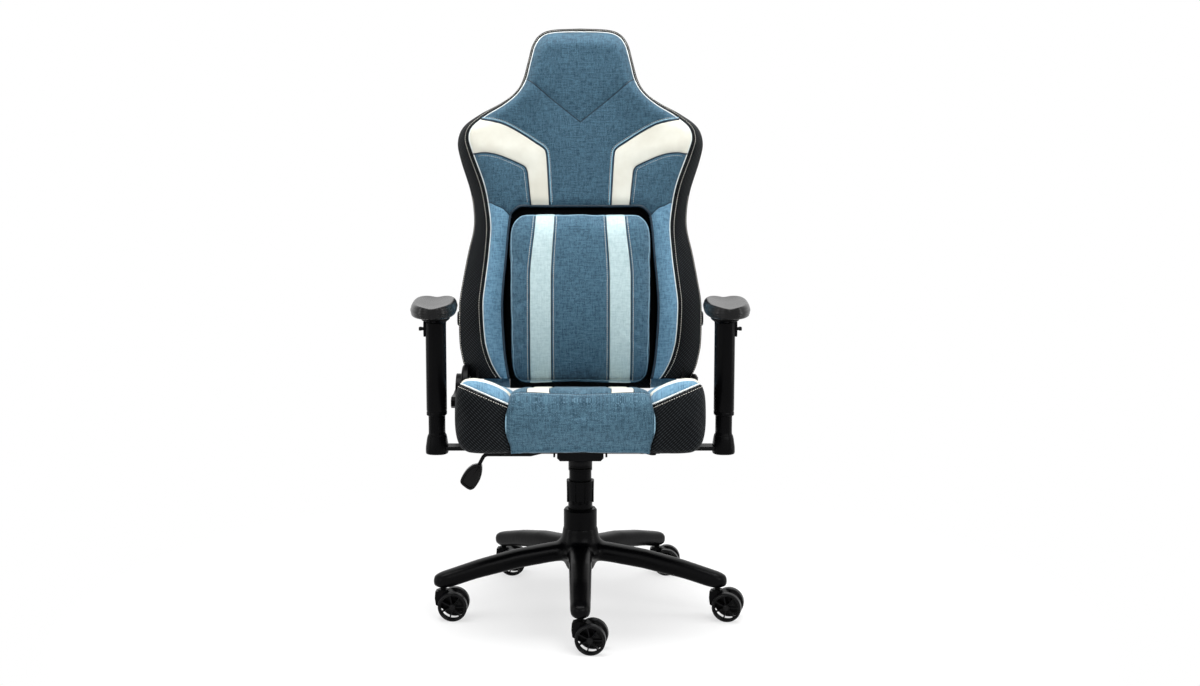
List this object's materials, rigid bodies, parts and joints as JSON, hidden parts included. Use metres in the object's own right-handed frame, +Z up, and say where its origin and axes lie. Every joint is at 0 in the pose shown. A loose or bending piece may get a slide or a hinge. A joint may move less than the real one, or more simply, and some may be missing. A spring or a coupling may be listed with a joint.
{
  "type": "gaming chair",
  "caption": "Swivel chair with bucket seat, tall winged reclining backrest with adjustable lumbar pad, height-adjustable armrests and a five-leg caster base.",
  "frame": {"origin": "on the floor, under the column's axis", "axes": "+Z up, the chair faces -Y, +X is the sitter's left"},
  "size_m": [0.7034, 0.7279, 1.2294],
  "materials": {
    "nylon_black": "satin",
    "plastic_black": "matte",
    "plastic_gloss": "gloss",
    "steel_black": "satin",
    "steel_bright": "satin",
    "fabric_blue": "matte",
    "cover_black": "satin",
    "pad_black": "satin",
    "board": "matte",
    "wheel": "satin"
  },
  "bodies": {
    "base": {"star_base": "nylon_black", "gas_column": "steel_black", "thrust_bearing": "steel_bright", "column_cover_lower": "plastic_black"},
    "rod": {"piston_rod": "steel_bright"},
    "cover_middle": {"column_cover_middle": "plastic_black"},
    "carrier": {"gas_cylinder": "steel_bright", "column_cover_upper": "plastic_black", "mechanism_housing": "steel_black", "tilt_pin": "steel_bright", "tilt_spring": "steel_bright"},
    "valve": {"gas_valve": "steel_bright"},
    "lock": {"lock_slider": "plastic_black"},
    "lift_lever": {"lift_lever_rod": "steel_black", "lift_lever_paddle": "plastic_gloss"},
    "seat": {"mechanism_plate": "steel_black", "seat_board": "board", "seat_cushion": "fabric_blue", "seat_bolster_left": "cover_black", "seat_bolster_right": "cover_black", "seat_side_frame_left": "steel_black", "seat_side_frame_right": "steel_black", "recliner_cover_left": "plastic_black", "recliner_cover_right": "plastic_black", "arm_bracket_left": "steel_black", "arm_bracket_right": "steel_black", "arm_post_left": "plastic_black", "arm_post_right": "plastic_black"},
    "recline_lever": {"recline_lever": "plastic_black"},
    "back": {"back_cushion": "fabric_blue", "back_rear_panel": "cover_black", "back_frame": "steel_black", "back_plate_left": "steel_black", "back_plate_right": "steel_black"},
    "lumbar": {"lumbar_pad": "fabric_blue", "lumbar_carriage": "plastic_black"},
    "lumbar_knobs": {"lumbar_shaft": "steel_bright", "lumbar_knob_left": "plastic_gloss", "lumbar_knob_right": "plastic_gloss"},
    "arm_left": {"arm_sleeve_left": "plastic_black", "arm_pad_left": "pad_black"},
    "arm_button_left": {"arm_button_left": "plastic_gloss"},
    "arm_right": {"arm_sleeve_right": "plastic_black", "arm_pad_right": "pad_black"},
    "arm_button_right": {"arm_button_right": "plastic_gloss"},
    "caster_front": {"caster_front_fork": "plastic_black"},
    "caster_front_wheel_near": {"caster_front_wheel_near": "wheel"},
    "caster_front_wheel_far": {"caster_front_wheel_far": "wheel"},
    "caster_left": {"caster_left_fork": "plastic_black"},
    "caster_left_wheel_near": {"caster_left_wheel_near": "wheel"},
    "caster_left_wheel_far": {"caster_left_wheel_far": "wheel"},
    "caster_rear_left": {"caster_rear_left_fork": "plastic_black"},
    "caster_rear_left_wheel_near": {"caster_rear_left_wheel_near": "wheel"},
    "caster_rear_left_wheel_far": {"caster_rear_left_wheel_far": "wheel"},
    "caster_rear_right": {"caster_rear_right_fork": "plastic_black"},
    "caster_rear_right_wheel_near": {"caster_rear_right_wheel_near": "wheel"},
    "caster_rear_right_wheel_far": {"caster_rear_right_wheel_far": "wheel"},
    "caster_right": {"caster_right_fork": "plastic_black"},
    "caster_right_wheel_near": {"caster_right_wheel_near": "wheel"},
    "caster_right_wheel_far": {"caster_right_wheel_far": "wheel"}
  },
  "joints": [
    {"name": "seat_swivel", "type": "hinge", "parent": "base", "child": "rod", "pos_m": [0, 0, 0.072], "axis": [0, 0, 1], "continuous": true},
    {"name": "gas_lift", "type": "slide", "parent": "rod", "child": "carrier", "axis": [0, 0, 1], "range_m": [-0.02, 0.06]},
    {"name": "cover_middle_slide", "type": "slide", "parent": "base", "child": "cover_middle", "axis": [0, 0, 1], "range_m": [-0.01, 0.03]},
    {"name": "seat_tilt", "type": "hinge", "parent": "carrier", "child": "seat", "pos_m": [0, -0.03, 0.338], "axis": [-1, 0, 0], "range_deg": [0, 12], "stiffness_Nm_per_rad": 160, "springref_deg": -17.19},
    {"name": "gas_valve_press", "type": "slide", "parent": "carrier", "child": "valve", "axis": [0, 0, -1], "range_m": [0, 0.002]},
    {"name": "tilt_lock_slide", "type": "slide", "parent": "carrier", "child": "lock", "axis": [-1, 0, 0], "range_m": [0, 0.008]},
    {"name": "lift_lever_pull", "type": "hinge", "parent": "lock", "child": "lift_lever", "pos_m": [-0.022, 0, 0.334], "axis": [0, 1, 0], "range_deg": [0, 4.5], "stiffness_Nm_per_rad": 6, "springref_deg": -5.73},
    {"name": "back_recline", "type": "hinge", "parent": "seat", "child": "back", "pos_m": [0, 0.205, 0.42], "axis": [-1, 0, 0], "range_deg": [0, 60]},
    {"name": "recline_lever_pull", "type": "hinge", "parent": "seat", "child": "recline_lever", "pos_m": [-0.27, 0.205, 0.42], "axis": [-1, 0, 0], "range_deg": [0, 25], "stiffness_Nm_per_rad": 1.2, "springref_deg": -20.05},
    {"name": "lumbar_depth", "type": "slide", "parent": "back", "child": "lumbar", "axis": [0, -0.9877, 0.1564], "range_m": [0, 0.02]},
    {"name": "lumbar_knob_turn", "type": "hinge", "parent": "back", "child": "lumbar_knobs", "pos_m": [0, 0.28394, 0.57962], "axis": [1, 0, 0], "range_deg": [0, 180]},
    {"name": "arm_height_left", "type": "slide", "parent": "seat", "child": "arm_left", "axis": [0, 0, 1], "range_m": [-0.034, 0.036]},
    {"name": "arm_button_press_left", "type": "slide", "parent": "arm_left", "child": "arm_button_left", "axis": [-1, 0, 0], "range_m": [0, 0.003], "stiffness_N_per_m": 600, "springref_m": -0.001},
    {"name": "arm_height_right", "type": "slide", "parent": "seat", "child": "arm_right", "axis": [0, 0, 1], "range_m": [-0.034, 0.036]},
    {"name": "arm_button_press_right", "type": "slide", "parent": "arm_right", "child": "arm_button_right", "axis": [1, 0, 0], "range_m": [0, 0.003], "stiffness_N_per_m": 600, "springref_m": -0.001},
    {"name": "caster_front_swivel", "type": "hinge", "parent": "base", "child": "caster_front", "pos_m": [0, -0.297, 0.06], "axis": [0, 0, 1], "continuous": true},
    {"name": "caster_front_spin_near", "type": "hinge", "parent": "caster_front", "child": "caster_front_wheel_near", "pos_m": [0.02179, -0.30006, 0.03], "axis": [0.1392, 0.9903, 0], "continuous": true},
    {"name": "caster_front_spin_far", "type": "hinge", "parent": "caster_front", "child": "caster_front_wheel_far", "pos_m": [0.02179, -0.30006, 0.03], "axis": [0.1392, 0.9903, 0], "continuous": true},
    {"name": "caster_left_swivel", "type": "hinge", "parent": "base", "child": "caster_left", "pos_m": [0.28246, -0.09178, 0.06], "axis": [0, 0, 1], "continuous": true},
    {"name": "caster_left_spin_near", "type": "hinge", "parent": "caster_left", "child": "caster_left_wheel_near", "pos_m": [0.30381, -0.0971, 0.03], "axis": [0.2419, 0.9703, 0], "continuous": true},
    {"name": "caster_left_spin_far", "type": "hinge", "parent": "caster_left", "child": "caster_left_wheel_far", "pos_m": [0.30381, -0.0971, 0.03], "axis": [0.2419, 0.9703, 0], "continuous": true},
    {"name": "caster_rear_left_swivel", "type": "hinge", "parent": "base", "child": "caster_rear_left", "pos_m": [0.17457, 0.24028, 0.06], "axis": [0, 0, 1], "continuous": true},
    {"name": "caster_rear_left_spin_near", "type": "hinge", "parent": "caster_rear_left", "child": "caster_rear_left_wheel_near", "pos_m": [0.19645, 0.23798, 0.03], "axis": [0.1045, 0.9945, 0], "continuous": true},
    {"name": "caster_rear_left_spin_far", "type": "hinge", "parent": "caster_rear_left", "child": "caster_rear_left_wheel_far", "pos_m": [0.19645, 0.23798, 0.03], "axis": [0.1045, 0.9945, 0], "continuous": true},
    {"name": "caster_rear_right_swivel", "type": "hinge", "parent": "base", "child": "caster_rear_right", "pos_m": [-0.17457, 0.24028, 0.06], "axis": [0, 0, 1], "continuous": true},
    {"name": "caster_rear_right_spin_near", "type": "hinge", "parent": "caster_rear_right", "child": "caster_rear_right_wheel_near", "pos_m": [-0.15269, 0.23798, 0.03], "axis": [0.1045, 0.9945, 0], "continuous": true},
    {"name": "caster_rear_right_spin_far", "type": "hinge", "parent": "caster_rear_right", "child": "caster_rear_right_wheel_far", "pos_m": [-0.15269, 0.23798, 0.03], "axis": [0.1045, 0.9945, 0], "continuous": true},
    {"name": "caster_right_swivel", "type": "hinge", "parent": "base", "child": "caster_right", "pos_m": [-0.28246, -0.09178, 0.06], "axis": [0, 0, 1], "continuous": true},
    {"name": "caster_right_spin_near", "type": "hinge", "parent": "caster_right", "child": "caster_right_wheel_near", "pos_m": [-0.26049, -0.09293, 0.03], "axis": [0.0523, 0.9986, 0], "continuous": true},
    {"name": "caster_right_spin_far", "type": "hinge", "parent": "caster_right", "child": "caster_right_wheel_far", "pos_m": [-0.26049, -0.09293, 0.03], "axis": [0.0523, 0.9986, 0], "continuous": true}
  ],
  "couplings": [
    {"joint": "cover_middle_slide", "follows": "gas_lift", "ratio": 0.5},
    {"joint": "gas_valve_press", "follows": "lift_lever_pull", "m_per_rad": 0.022},
    {"joint": "lumbar_knob_turn", "follows": "lumbar_depth", "rad_per_m": 157}
  ]
}
